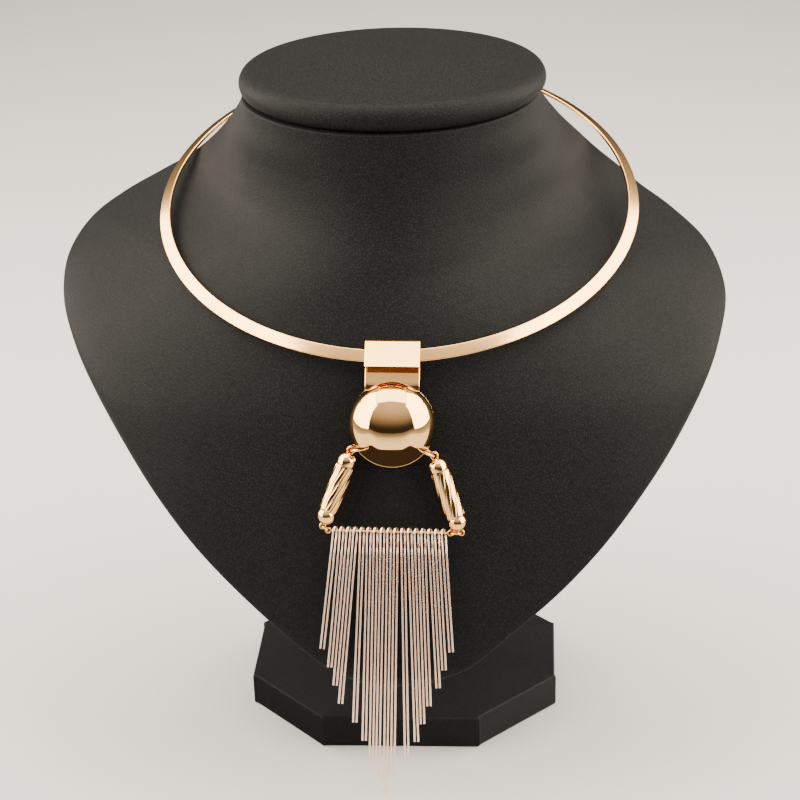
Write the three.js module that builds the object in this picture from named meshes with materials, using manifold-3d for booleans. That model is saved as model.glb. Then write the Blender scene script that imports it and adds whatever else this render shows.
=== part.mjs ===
// A bib necklace on its neck bust, in millimetres, +Z up, front towards -Y.
// The origin is the middle of the stand plate's underside.
//
// The necklace: a rigid flat-band collar, closed at the nape by a plain sleeve; a sheet-metal strap
// folded over the collar's front, with a hollow half dome on its round lower end; two fluted tubes
// hung from the dome's mouth by jump rings and links; and a wire between the tubes that carries
// seventeen hairpins, longest in the middle. The bust: a padded neck and chest form with a
// separate padded cap, on a post and an octagonal plate.

import * as THREE from 'three';
import { mergeVertices } from 'three/addons/utils/BufferGeometryUtils.js';
import Module from 'manifold-3d';

const wasm = await Module();
wasm.setup();

const DEG = Math.PI / 180;
const GAP = 0.3;                     // running gap between pieces that touch

// ---- stand ----
const PLATE = { halfWidth: 44, halfDepth: 36.6, corner: 22, height: 10, bevel: 0.6 };
const POST = { halfWidth: 17, halfDepth: 13, y: 4 };

// ---- bust ----
// Level sections through neck and chest. Each is widest at y = edge; the front runs from there to
// y = front and the back to y = back. taper above 1 draws the front in towards the neck, and shift
// moves the section sideways, because the padding sits unevenly.
const BUST_SECTIONS = [
  { z: 40.0, shift: 0, halfWidth: 6.0, front: -66.3, edge: -64.3, back: -60.0, taper: 1.0 },
  { z: 41.5, shift: 0.5, halfWidth: 11.5, front: -67.3, edge: -65.1, back: -57.5, taper: 1.0 },
  { z: 45.5, shift: 1, halfWidth: 19.1, front: -67.9, edge: -65.5, back: -54.0, taper: 1.0 },
  { z: 53.0, shift: 1, halfWidth: 28.8, front: -66.4, edge: -63.0, back: -47.0, taper: 1.0 },
  { z: 64.0, shift: 1.5, halfWidth: 42.1, front: -63.4, edge: -58.5, back: -38.0, taper: 1.0 },
  { z: 75.0, shift: 1.5, halfWidth: 53.7, front: -60.3, edge: -53.0, back: -27.0, taper: 1.0 },
  { z: 86.0, shift: 1.5, halfWidth: 63.6, front: -57.1, edge: -46.0, back: -15.0, taper: 1.0 },
  { z: 96.0, shift: 1.5, halfWidth: 72.3, front: -54.2, edge: -36.5, back: -3.0, taper: 1.0 },
  { z: 108.0, shift: 1, halfWidth: 81.7, front: -50.5, edge: -24.0, back: 12.0, taper: 1.15 },
  { z: 116.0, shift: 0, halfWidth: 87.8, front: -47.5, edge: -11.0, back: 23.0, taper: 1.4 },
  { z: 124.0, shift: -1, halfWidth: 91.0, front: -43.7, edge: 1.0, back: 34.0, taper: 1.75 },
  { z: 131.5, shift: -2.8, halfWidth: 89.4, front: -39.8, edge: 14.0, back: 42.0, taper: 2.15 },
  { z: 137.0, shift: -4.8, halfWidth: 82.9, front: -36.9, edge: 27.0, back: 47.0, taper: 2.15 },
  { z: 141.5, shift: -5, halfWidth: 74.2, front: -34.5, edge: 36.0, back: 49.5, taper: 2.05 },
  { z: 146.0, shift: -3.2, halfWidth: 66.0, front: -32.2, edge: 40.5, back: 51.0, taper: 1.85 },
  { z: 151.0, shift: -1.6, halfWidth: 58.4, front: -29.6, edge: 40.5, back: 52.0, taper: 1.6 },
  { z: 157.0, shift: -0.9, halfWidth: 52.4, front: -27.2, edge: 36.5, back: 52.5, taper: 1.35 },
  { z: 163.0, shift: -0.8, halfWidth: 47.4, front: -25.5, edge: 31.0, back: 52.5, taper: 1.15 },
  { z: 169.0, shift: -0.8, halfWidth: 43.6, front: -24.4, edge: 24.0, back: 52.3, taper: 1.0 },
  { z: 174.0, shift: -0.8, halfWidth: 41.0, front: -23.8, edge: 18.0, back: 52.0, taper: 1.0 },
  { z: 177.0, shift: -0.8, halfWidth: 40.0, front: -23.6, edge: 15.5, back: 52.0, taper: 1.0 },
];
const BACK_SQUARENESS = 2.4;         // exponent of the back half of each section, 2 is an ellipse
const BUST_SIDES = 40;
const NECK = { y: 15, top: 177 };
const CAP = { halfWidth: 41.4, halfDepth: 38.9, thickness: 7.4, rim: 3.4, crown: 1.4 };

// ---- collar ----
const RING = { x: 0.9, y: 14, z: 147.5, tilt: 18.2 * DEG, radius: 63.1, sides: 96 };
const BAND = { height: 3.3, thickness: 0.9, cone: 60 * DEG };
const SLEEVE = { length: 14, wall: 0.6, play: 0.4, opening: 5 };

// ---- pendant, in its own leaning frame: X right, -Y out of the chest, Z up, at the dome's middle ----
const PENDANT = { x: 0.5, y: -52.6, z: 109.9, lean: 16 * DEG, askew: 1.3 * DEG };
const SHEET = 0.9;
const STRAP_WIDTH = 14;
const STRAP = {
  tilt: 8 * DEG, overhang: 5.25, rise: 1.2, bend: 1.4, last: 170 * DEG, landing: 11, end: -6,
};
const DOME = { radius: 11.1, bulge: 0.75, wall: 0.9, mouth: -5.1 };
const JUMP_RING = { radius: 2.2, wire: 0.7, out: 0.55, hole: 1.8 };
const TUBE = { radius: 2.5, cap: 3.5, body: 12.9, ball: 3.75, joint: 0.15 };
const CAP_EYE = { radius: 0.85, wire: 0.5 };
const FLUTE = { count: 12, depth: 0.1, turns: 0.22, steps: 6 };
// Where each jump ring hangs, how far its outer end drops, and how far its tube leans outwards.
const TUBE_PLACES = [
  { side: 'left', sign: -1, ringX: 8.2, ringDrop: 10 * DEG, lean: 20 * DEG },
  { side: 'right', sign: 1, ringX: 8.9, ringDrop: 26 * DEG, lean: 19.7 * DEG },
];

// ---- tassel ----
const HAIRPIN = { count: 17, pitch: 1.74, wire: 0.54, longest: 72, step: 4.875, bend: 1.05 };
const LEG = { x: 0.45, front: 0.85, slot: 5.5 };
const HANGER = { x: -0.45, up: -27.75, out: 0.55, wire: 0.5, reach: 15.7, drop: 0.4 * DEG };
// How far each hairpin swings from straight down, left to right.
const HAIRPIN_SWING_DEG = [
  -6.0, -4.8, -4.7, -4.6, -1.9, -1.0, -0.8, -0.8, -0.5, -0.4, 1.4, 2.3, 2.3, 2.4, 3.5, 3.6, 4.2,
];
const SMALL_EYE = { radius: 0.65, wire: 0.45 };
const LOWER_RING = { wire: 0.45 };

// ---- finishes ----
const leatherette = new THREE.MeshStandardMaterial({ color: 0x2b2a29, roughness: 0.55, metalness: 0 });
const lacquer = new THREE.MeshStandardMaterial({ color: 0x1f1f20, roughness: 0.3, metalness: 0 });
const roseGold = new THREE.MeshStandardMaterial({ color: 0xe6bd9c, roughness: 0.14, metalness: 1 });
const darkGold = new THREE.MeshStandardMaterial({ color: 0xc79a7c, roughness: 0.25, metalness: 1 });

// ---- solids and booleans ----

// A closed geometry as a manifold solid; only shared positions are kept.
function toSolid(geometry) {
  const bare = geometry.index ? geometry.toNonIndexed() : geometry.clone();
  bare.deleteAttribute('normal');
  bare.deleteAttribute('uv');
  const merged = mergeVertices(bare, 1e-5);
  return new wasm.Manifold(new wasm.Mesh({
    numProp: 3,
    vertProperties: new Float32Array(merged.attributes.position.array),
    triVerts: new Uint32Array(merged.index.array),
  }));
}

function toGeometry(solid) {
  const mesh = solid.getMesh();
  const geometry = new THREE.BufferGeometry();
  geometry.setAttribute('position', new THREE.BufferAttribute(new Float32Array(mesh.vertProperties), 3));
  geometry.setIndex(new THREE.BufferAttribute(new Uint32Array(mesh.triVerts), 1));
  geometry.computeVertexNormals();
  return geometry;
}

const join = (a, b) => toGeometry(toSolid(a).add(toSolid(b)));
const cut = (a, b) => toGeometry(toSolid(a).subtract(toSolid(b)));

function addMesh(group, name, geometry, material) {
  const mesh = new THREE.Mesh(geometry, material);
  mesh.name = name;
  group.add(mesh);
  return mesh;
}

// A closed body through rings of equal point counts, with a fan over each end.
function loft(rings) {
  const sides = rings[0].length;
  const middle = (ring) => ring.reduce((sum, p) => sum.add(p), new THREE.Vector3()).divideScalar(sides);
  const points = [...rings.flat(), middle(rings[0]), middle(rings.at(-1))];
  const firstMiddle = points.length - 2;
  const lastMiddle = points.length - 1;
  const lastRing = (rings.length - 1) * sides;
  const index = [];
  for (let i = 0; i < sides; i += 1) {
    const next = (i + 1) % sides;
    for (let row = 0; row < lastRing; row += sides) {
      index.push(row + i, row + next, row + sides + next);
      index.push(row + i, row + sides + next, row + sides + i);
    }
    index.push(firstMiddle, next, i);
    index.push(lastMiddle, lastRing + i, lastRing + next);
  }
  const geometry = new THREE.BufferGeometry().setFromPoints(points);
  geometry.setIndex(index);
  geometry.computeVertexNormals();
  return geometry;
}

// A curve that visits its stations in equal steps, so that a sweep has a section at each of them.
class StationCurve extends THREE.Curve {
  constructor(stations) {
    super();
    this.stations = stations;
  }

  getPoint(t, target = new THREE.Vector3()) {
    const place = t * (this.stations.length - 1);
    const first = Math.min(Math.floor(place), this.stations.length - 2);
    return target.lerpVectors(this.stations[first], this.stations[first + 1], place - first);
  }

  getUtoTmapping(u) {
    return u;
  }
}

function sweepWire(stations, wire, sides) {
  const section = new THREE.Shape();
  section.absarc(0, 0, wire / 2, 0, 2 * Math.PI);
  return new THREE.ExtrudeGeometry(section, {
    curveSegments: sides / 2,
    steps: stations.length - 1,
    extrudePath: new StationCurve(stations),
  });
}

// ---- stand ----

function octagon(halfWidth, halfDepth, corner) {
  return new THREE.Shape([
    new THREE.Vector2(halfWidth, corner - halfDepth),
    new THREE.Vector2(halfWidth, halfDepth - corner),
    new THREE.Vector2(halfWidth - corner, halfDepth),
    new THREE.Vector2(corner - halfWidth, halfDepth),
    new THREE.Vector2(-halfWidth, halfDepth - corner),
    new THREE.Vector2(-halfWidth, corner - halfDepth),
    new THREE.Vector2(corner - halfWidth, -halfDepth),
    new THREE.Vector2(halfWidth - corner, -halfDepth),
  ]);
}

function plateGeometry() {
  const { halfWidth, halfDepth, corner, height, bevel } = PLATE;
  const geometry = new THREE.ExtrudeGeometry(octagon(halfWidth, halfDepth, corner), {
    depth: height - 2 * bevel,
    bevelThickness: bevel,
    bevelSize: bevel,
    bevelOffset: -bevel,
    bevelSegments: 1,
  });
  return geometry.translate(0, 0, bevel);
}

// Height of the chest's underside on its middle line at depth y.
function undersideHeight(y) {
  const upper = BUST_SECTIONS.findIndex((section) => section.back > y);
  const a = BUST_SECTIONS[upper - 1];
  const b = BUST_SECTIONS[upper];
  return a.z + (b.z - a.z) * (y - a.back) / (b.back - a.back);
}

// An oval column from the plate to the chest's slanting underside.
function postGeometry() {
  const section = new THREE.Shape();
  section.absellipse(0, POST.y, POST.halfWidth, POST.halfDepth, 0, 2 * Math.PI);
  const foot = PLATE.height + GAP;
  const geometry = new THREE.ExtrudeGeometry(section, { depth: 1, bevelEnabled: false, curveSegments: 14 });
  const front = POST.y - POST.halfDepth;
  const slope = (undersideHeight(POST.y + POST.halfDepth) - undersideHeight(front)) / (2 * POST.halfDepth);
  const seat = 3 * GAP;
  const position = geometry.attributes.position;
  for (let i = 0; i < position.count; i += 1) {
    const top = undersideHeight(front) + slope * (position.getY(i) - front) - seat;
    position.setZ(i, position.getZ(i) > 0 ? top : foot);
  }
  geometry.computeVertexNormals();
  return geometry;
}

// ---- bust ----

function bustRing(section) {
  const { z, shift, halfWidth, front, edge, back, taper } = section;
  const ring = [];
  for (let i = 0; i < BUST_SIDES; i += 1) {
    const angle = 2 * Math.PI * i / BUST_SIDES;
    const across = Math.cos(angle);
    const along = Math.abs(Math.sin(angle));
    if (i > BUST_SIDES / 2) {
      ring.push(new THREE.Vector3(shift + halfWidth * across, edge + (front - edge) * along ** taper, z));
    } else {
      const square = 2 / BACK_SQUARENESS;
      const x = shift + halfWidth * Math.sign(across) * Math.abs(across) ** square;
      ring.push(new THREE.Vector3(x, edge + (back - edge) * along ** square, z));
    }
  }
  return ring;
}

// The padded neck cap: a low crown over a round rim, wider than it is deep.
function capGeometry() {
  const { halfWidth, halfDepth, thickness, rim, crown } = CAP;
  const points = [new THREE.Vector2(0, 0)];
  const rimSteps = 6;
  for (let i = 0; i <= rimSteps; i += 1) {
    const angle = -Math.PI / 2 + Math.PI * i / rimSteps;
    const height = rim + rim * Math.sin(angle);
    points.push(new THREE.Vector2(halfWidth - rim + rim * Math.cos(angle), height));
  }
  points.push(new THREE.Vector2(halfWidth * 0.72, 2 * rim + crown * 0.55));
  points.push(new THREE.Vector2(halfWidth * 0.4, 2 * rim + crown * 0.9));
  points.push(new THREE.Vector2(0, 2 * rim + crown));
  const geometry = new THREE.LatheGeometry(points, 40);
  const height = thickness + crown;
  return geometry.rotateX(Math.PI / 2).scale(1, halfDepth / halfWidth, height / (2 * rim + crown));
}

// ---- collar ----

// The band's corners in its own plane: r outwards, n along the ring's axis.
function bandCorners() {
  const down = new THREE.Vector2(Math.sin(BAND.cone), -Math.cos(BAND.cone)).multiplyScalar(BAND.height);
  const inward = new THREE.Vector2(-Math.cos(BAND.cone), -Math.sin(BAND.cone)).multiplyScalar(BAND.thickness);
  const topOuter = new THREE.Vector2(RING.radius, 0);
  const bottomOuter = topOuter.clone().add(down);
  return [topOuter, topOuter.clone().add(inward), bottomOuter.clone().add(inward), bottomOuter];
}

function bandMiddle() {
  return bandCorners().reduce((sum, p) => sum.add(p), new THREE.Vector2()).divideScalar(4);
}

function collarGeometry() {
  const corners = bandCorners();
  const ring = new THREE.LatheGeometry([...corners, corners[0]], RING.sides).rotateX(Math.PI / 2);
  const opening = new THREE.BoxGeometry(SLEEVE.opening, 30, 30).translate(0, RING.radius, 0);
  return cut(ring, opening);
}

// A plain flat sleeve over the collar's two ends.
function sleeveGeometry() {
  const sag = RING.radius - Math.hypot(RING.radius, SLEEVE.length / 2);
  const play = 2 * SLEEVE.play - sag;
  const slotThickness = BAND.thickness + play;
  const slotHeight = BAND.height + play;
  const wall = 2 * SLEEVE.wall;
  const outer = new THREE.BoxGeometry(SLEEVE.length, slotThickness + wall, slotHeight + wall);
  const slot = new THREE.BoxGeometry(SLEEVE.length + 2, slotThickness, slotHeight);
  const middle = bandMiddle();
  return cut(outer, slot).rotateX(BAND.cone).translate(0, middle.x + sag / 2, middle.y);
}

// ---- pendant ----

// The band's corners at the collar's front, in the pendant's frame: x out of the chest, y up.
function bandAtPendant() {
  const turn = RING.tilt + PENDANT.lean;
  const place = new THREE.Vector3(0, RING.y - PENDANT.y, RING.z - PENDANT.z);
  place.applyAxisAngle(new THREE.Vector3(1, 0, 0), PENDANT.lean);
  return bandCorners().map((corner) => {
    const front = new THREE.Vector3(0, -corner.x, corner.y).applyAxisAngle(new THREE.Vector3(1, 0, 0), turn);
    return new THREE.Vector2(-front.y - place.y, front.z + place.z);
  });
}

// The strap's mid line from the flap's free end, over the band and down to the disc.
function strapLine() {
  const [topOuter, , , bottomOuter] = bandAtPendant();
  const slope = topOuter.clone().sub(bottomOuter).angle() + STRAP.tilt;
  const along = new THREE.Vector2(Math.cos(slope), Math.sin(slope));
  const out = new THREE.Vector2(along.y, -along.x);
  const touch = topOuter.clone().addScaledVector(out, SHEET / 2 + GAP + 0.1);
  const flap = (rise) => touch.clone().addScaledVector(along, rise);
  const centre = flap(STRAP.rise).addScaledVector(out, -STRAP.bend);
  const crest = (share) => {
    const angle = out.angle() + (STRAP.last - out.angle()) * share;
    return new THREE.Vector2(Math.cos(angle), Math.sin(angle)).multiplyScalar(STRAP.bend).add(centre);
  };
  const back = -SHEET / 2;
  const landing = new THREE.Vector2(back, STRAP.landing);
  const leg = (share) => crest(1).lerp(landing, share);
  return [
    flap(-STRAP.overhang), flap(-STRAP.overhang + 1.5), flap(STRAP.rise - 1.2), flap(STRAP.rise),
    crest(0.25), crest(0.5), crest(0.75), crest(1), leg(0.15), leg(0.85), landing,
    new THREE.Vector2(back, STRAP.landing - 1.5), new THREE.Vector2(back, STRAP.end),
  ];
}

// The strap's side view, thickened evenly to both sides of its mid line, and drawn out to its width.
function strapGeometry() {
  const knots = strapLine().map((point) => new THREE.Vector3(-point.x, point.y, 0));
  const line = new THREE.CatmullRomCurve3(knots, false, 'centripetal');
  const count = 44;
  const left = [];
  const right = [];
  for (let i = 0; i <= count; i += 1) {
    const point = line.getPoint(i / count);
    const tangent = line.getTangent(i / count);
    const offset = new THREE.Vector2(-tangent.y, tangent.x).multiplyScalar(SHEET / 2);
    left.push(point.clone().add(offset));
    right.unshift(point.clone().sub(offset));
  }
  const outline = new THREE.Shape([...left, ...right]);
  const strip = new THREE.ExtrudeGeometry(outline, { depth: STRAP_WIDTH, bevelEnabled: false });
  const axes = new THREE.Matrix4().makeBasis(
    new THREE.Vector3(0, 1, 0), new THREE.Vector3(0, 0, 1), new THREE.Vector3(1, 0, 0));
  strip.translate(0, 0, -STRAP_WIDTH / 2).applyMatrix4(axes);
  const disc = new THREE.CylinderGeometry(DOME.radius, DOME.radius, SHEET, 48).translate(0, SHEET / 2, 0);
  let solid = toSolid(strip).add(toSolid(disc));
  for (const place of TUBE_PLACES) {
    const hole = new THREE.CylinderGeometry(JUMP_RING.hole / 2, JUMP_RING.hole / 2, 4 * SHEET, 14);
    // Behind the sheet's middle, because the ring bends inwards there.
    const sink = JUMP_RING.out + 0.75 * SHEET;
    const reach = Math.sqrt(JUMP_RING.radius ** 2 - sink ** 2);
    const { x, z } = onJumpRing(place, -reach);
    solid = solid.subtract(toSolid(hole.translate(x, SHEET / 2, z)));
  }
  return toGeometry(solid);
}

// A thin half shell, flatter than a ball, open at the bottom where the mouth cuts it off.
function domeGeometry() {
  const profile = [];
  const outerSteps = 8;
  const innerSteps = 6;
  for (let i = 0; i <= outerSteps; i += 1) {
    const angle = Math.PI / 2 * i / outerSteps;
    const rise = DOME.radius * DOME.bulge * Math.cos(angle);
    profile.push(new THREE.Vector2(DOME.radius * Math.sin(angle), -rise));
  }
  const inner = DOME.radius - DOME.wall;
  for (let i = innerSteps; i >= 0; i -= 1) {
    const angle = Math.PI / 2 * i / innerSteps;
    profile.push(new THREE.Vector2(inner * Math.sin(angle), -inner * DOME.bulge * Math.cos(angle)));
  }
  const shell = new THREE.LatheGeometry(profile, 40).translate(0, -GAP, 0);
  const size = 4 * DOME.radius;
  const below = new THREE.BoxGeometry(size, size, size).translate(0, 0, DOME.mouth - size / 2);
  return cut(shell, below);
}

// The point of a jump ring's plane that lies reach outwards from its middle.
function onJumpRing({ sign, ringX, ringDrop }, reach) {
  const { radius, wire, out } = JUMP_RING;
  const middle = DOME.mouth - GAP - wire / 2 - 0.04 - radius * Math.sin(ringDrop);
  const x = sign * (ringX + reach * Math.cos(ringDrop));
  return new THREE.Vector3(x, -out, middle - reach * Math.sin(ringDrop));
}

// A wire ring in the XY plane.
function ringGeometry({ radius, wire }, around, sides) {
  return new THREE.TorusGeometry(radius, wire / 2, sides, around);
}

// A wire eye that faces forwards, its middle at height z.
function eyeGeometry(eye, z) {
  return ringGeometry(eye, 12, 6).rotateX(Math.PI / 2).translate(0, 0, z);
}

// The tube's parts hang down from the cap's top at z = 0.
function tubeCapGeometry() {
  const { radius, cap } = TUBE;
  const profile = [new THREE.Vector2(0, -cap), new THREE.Vector2(radius, -cap)];
  const steps = 5;
  for (let i = 0; i <= steps; i += 1) {
    const angle = Math.PI / 2 * i / steps;
    profile.push(new THREE.Vector2(radius * Math.cos(angle), radius * (Math.sin(angle) - 1)));
  }
  const dome = new THREE.LatheGeometry(profile, 20).rotateX(Math.PI / 2);
  return join(dome, eyeGeometry(CAP_EYE, capEyeHeight()));
}

const capEyeHeight = () => CAP_EYE.radius - CAP_EYE.wire / 2;
const ballEyeHeight = () => SMALL_EYE.wire / 2 - SMALL_EYE.radius - 0.1 - TUBE.cap - TUBE.body - TUBE.ball;

// A fluted rod whose flutes turn slowly round it.
function tubeBodyGeometry() {
  const { radius, cap, body, joint } = TUBE;
  const points = [];
  const perFlute = 3;
  for (let i = 0; i < FLUTE.count * perFlute; i += 1) {
    const angle = 2 * Math.PI * i / (FLUTE.count * perFlute);
    const r = radius - (i % perFlute === 0 ? FLUTE.depth : 0);
    points.push(new THREE.Vector2(r * Math.cos(angle), r * Math.sin(angle)));
  }
  const length = body - 2 * joint;
  const geometry = new THREE.ExtrudeGeometry(new THREE.Shape(points), {
    depth: length,
    steps: FLUTE.steps,
    bevelEnabled: false,
  });
  const position = geometry.attributes.position;
  const point = new THREE.Vector3();
  for (let i = 0; i < position.count; i += 1) {
    point.fromBufferAttribute(position, i);
    point.applyAxisAngle(new THREE.Vector3(0, 0, 1), 2 * Math.PI * FLUTE.turns * point.z / length);
    position.setXYZ(i, point.x, point.y, point.z);
  }
  geometry.computeVertexNormals();
  return geometry.translate(0, 0, -cap - body + joint);
}

function tubeBallGeometry() {
  const { radius, cap, body, ball } = TUBE;
  const profile = [];
  const steps = 7;
  const neck = ball - radius;
  const start = Math.asin(neck / radius);
  for (let i = 0; i <= steps; i += 1) {
    const angle = -Math.PI / 2 + (Math.PI / 2 + start) * i / steps;
    profile.push(new THREE.Vector2(radius * Math.cos(angle), radius * Math.sin(angle) - neck));
  }
  profile.push(new THREE.Vector2(0, 0));
  const bulb = new THREE.LatheGeometry(profile, 20).rotateX(Math.PI / 2).translate(0, 0, -cap - body);
  return join(bulb, eyeGeometry(SMALL_EYE, ballEyeHeight()));
}

// The jump ring goes through the disc below the dome's mouth and through the eye of the tube's cap.
function addTube(group, place) {
  const ring = addMesh(group, `jump_ring_${place.side}`, ringGeometry(JUMP_RING, 24, 8), roseGold);
  ring.position.copy(onJumpRing(place, 0));
  ring.rotation.y = place.sign * place.ringDrop;
  const down = new THREE.Vector3(place.sign * Math.sin(place.lean), 0, -Math.cos(place.lean));
  const tube = new THREE.Group();
  tube.position.copy(onJumpRing(place, JUMP_RING.radius)).addScaledVector(down, capEyeHeight());
  tube.rotation.y = -place.sign * place.lean;
  addMesh(tube, `tube_cap_${place.side}`, tubeCapGeometry(), roseGold);
  addMesh(tube, `tube_body_${place.side}`, tubeBodyGeometry(), roseGold);
  addMesh(tube, `tube_ball_${place.side}`, tubeBallGeometry(), roseGold);
  group.add(tube);
  return tube.position.clone().addScaledVector(down, -ballEyeHeight());
}

// ---- tassel ----

// Stations of one hairpin's wire from leg end to leg end, the hanger at the origin.
function hairpinStations(length) {
  const { x, front, slot } = LEG;
  const { bend } = HAIRPIN;
  const half = [
    [x, 0, -length],
    [x, 0, -slot],
    [x, front * 0.62, -slot * 0.5],
    [x, front, -bend * 0.8],
    [x * 0.92, front, bend * 0.1],
    [x * 0.6, front * 0.7, bend * 0.75],
  ];
  const leading = half.map(([a, b, c]) => new THREE.Vector3(-a, -b, c));
  const returning = half.map(([a, b, c]) => new THREE.Vector3(a, b, c)).reverse();
  return [...leading, new THREE.Vector3(0, 0, bend), ...returning];
}

function addHairpins(group) {
  const middle = (HAIRPIN.count - 1) / 2;
  for (let i = 0; i < HAIRPIN.count; i += 1) {
    const overall = HAIRPIN.longest - HAIRPIN.step * Math.abs(i - middle);
    const length = overall - HAIRPIN.bend - HAIRPIN.wire / 2;
    const geometry = sweepWire(hairpinStations(length), HAIRPIN.wire, 6);
    const name = `hairpin_${String(i + 1).padStart(2, '0')}`;
    const mesh = addMesh(group, name, geometry, roseGold);
    mesh.position.x = (i - middle) * HAIRPIN.pitch;
    mesh.rotation.y = -HAIRPIN_SWING_DEG[i] * DEG - HANGER.drop;
  }
}

// The straight wire through the hairpins, with a round eye at each end.
function hangerGeometry() {
  const radius = HANGER.wire / 2;
  const length = 2 * (HANGER.reach - SMALL_EYE.radius);
  const rod = new THREE.CylinderGeometry(radius, radius, length, 10).rotateZ(Math.PI / 2);
  let solid = toSolid(rod);
  for (const side of [-1, 1]) {
    solid = solid.add(toSolid(eyeGeometry(SMALL_EYE, 0).translate(side * HANGER.reach, 0, 0)));
  }
  return toGeometry(solid);
}

function addTassel(group) {
  const tassel = new THREE.Group();
  tassel.position.set(HANGER.x, -HANGER.out, HANGER.up);
  tassel.rotation.y = HANGER.drop;
  addMesh(tassel, 'hanger_wire', hangerGeometry(), darkGold);
  addHairpins(tassel);
  group.add(tassel);
  tassel.updateMatrix();
  return (sign) => new THREE.Vector3(sign * HANGER.reach, 0, 0).applyMatrix4(tassel.matrix);
}

// A ring through the tube's bottom eye and the hanger's end eye.
function addLowerRing(group, side, tubeEye, hangerEye) {
  const across = hangerEye.clone().sub(tubeEye);
  const ring = ringGeometry({ radius: across.length() / 2, wire: LOWER_RING.wire }, 18, 6);
  const mesh = addMesh(group, `lower_ring_${side}`, ring, darkGold);
  mesh.position.copy(tubeEye).addScaledVector(across, 0.5);
  mesh.rotation.y = Math.atan2(-across.z, across.x);
}

// ---- assembly ----

const model = new THREE.Group();

addMesh(model, 'base_plate', plateGeometry(), lacquer);
addMesh(model, 'stand_post', postGeometry(), leatherette);
addMesh(model, 'bust_body', loft(BUST_SECTIONS.map(bustRing)), leatherette);
addMesh(model, 'neck_cap', capGeometry(), leatherette).position.set(0, NECK.y, NECK.top + GAP);

const collar = new THREE.Group();
collar.position.set(RING.x, RING.y, RING.z);
collar.rotation.x = RING.tilt;
addMesh(collar, 'collar', collarGeometry(), roseGold);
addMesh(collar, 'collar_clasp', sleeveGeometry(), roseGold);
model.add(collar);

const pendant = new THREE.Group();
pendant.position.set(PENDANT.x, PENDANT.y, PENDANT.z);
pendant.rotation.set(-PENDANT.lean, PENDANT.askew, 0);
addMesh(pendant, 'bail_strap', strapGeometry(), roseGold);
addMesh(pendant, 'dome', domeGeometry(), roseGold);
const hangerEnd = addTassel(pendant);
for (const place of TUBE_PLACES) {
  addLowerRing(pendant, place.side, addTube(pendant, place), hangerEnd(place.sign));
}
model.add(pendant);

export default model;
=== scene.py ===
"""Bib necklace on its neck bust.

A rigid flat-band collar carries a sheet-metal strap with a hollow half dome; two fluted tubes hang
from jump rings at the dome's mouth, and a wire between them carries a fringe of long hairpins. The
bust is a neck and chest form with a separate cap, a post and an octagonal plate, all wrapped in
black leatherette.

Every piece is a numpy surface in millimetres, +Z up and front towards -Y, in the frame of the
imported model.
"""

import math

import bmesh
import bpy
import numpy as np
from bpy.props import FloatProperty, IntProperty, PointerProperty, StringProperty
from bpy.types import Operator, Panel, PropertyGroup
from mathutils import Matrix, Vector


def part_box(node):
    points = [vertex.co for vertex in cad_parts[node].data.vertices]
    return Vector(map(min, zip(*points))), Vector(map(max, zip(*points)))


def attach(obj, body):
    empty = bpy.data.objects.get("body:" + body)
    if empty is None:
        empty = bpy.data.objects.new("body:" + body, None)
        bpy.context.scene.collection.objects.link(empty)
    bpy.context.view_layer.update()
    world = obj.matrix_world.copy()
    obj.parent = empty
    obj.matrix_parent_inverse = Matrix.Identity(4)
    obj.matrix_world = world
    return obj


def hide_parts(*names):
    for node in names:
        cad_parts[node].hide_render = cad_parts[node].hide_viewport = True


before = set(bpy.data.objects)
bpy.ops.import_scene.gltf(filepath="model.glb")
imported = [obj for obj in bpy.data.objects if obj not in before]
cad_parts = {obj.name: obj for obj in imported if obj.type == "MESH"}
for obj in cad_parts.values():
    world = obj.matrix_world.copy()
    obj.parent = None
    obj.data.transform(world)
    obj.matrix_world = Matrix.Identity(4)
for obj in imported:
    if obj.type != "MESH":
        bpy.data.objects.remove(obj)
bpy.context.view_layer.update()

bl_info = {
    "name": "Bib Necklace on Bust",
    "version": (1, 0, 0),
    "blender": (4, 5, 0),
    "location": "View3D > Sidebar > Necklace",
    "description": "Builds a rose gold bib necklace and the covered bust that holds it",
    "category": "Object",
}

MM = 0.001
UP = np.array([0, 0, 1.0])
LEATHER_SLOT = "leatherette"
GOLD_SLOT = "rose_gold"
SIDES = (("left", -1), ("right", 1))

# Air between pieces that touch on the real necklace, in millimetres.
GAP = 0.3

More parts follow.
